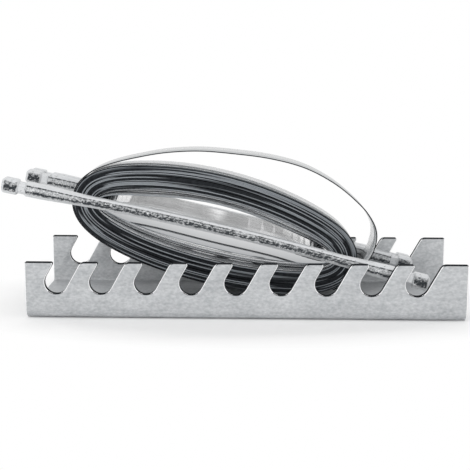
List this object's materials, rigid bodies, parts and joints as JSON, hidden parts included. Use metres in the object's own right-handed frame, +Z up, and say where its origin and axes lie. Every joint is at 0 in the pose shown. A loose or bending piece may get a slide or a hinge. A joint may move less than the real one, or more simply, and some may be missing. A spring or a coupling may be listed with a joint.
{
  "type": "metal hive strap kit",
  "caption": "Beehive strapping kit: a slotted steel rail, a sprung coil of steel strap and necked bars that hook into the rail's slanted slots.",
  "frame": {"origin": "middle of the rail's flat underside, on the floor", "axes": "+X along the rail towards the low ends of the bars, +Y from the rail's front wall to its rear wall, +Z up"},
  "size_m": [0.2081, 0.0769, 0.0721],
  "materials": {
    "galvanised_sheet": "dull zinc coat over folded steel sheet",
    "bright_strapping": "bright rolled strip with dark slit edges",
    "rough_zinc": "rough, sparkling hot-dip zinc"
  },
  "bodies": {
    "root": {"notched_rail": "galvanised_sheet", "strap_coil": "bright_strapping", "bar_front": "rough_zinc", "bar_middle": "rough_zinc", "bar_rear": "rough_zinc"}
  },
  "joints": []
}
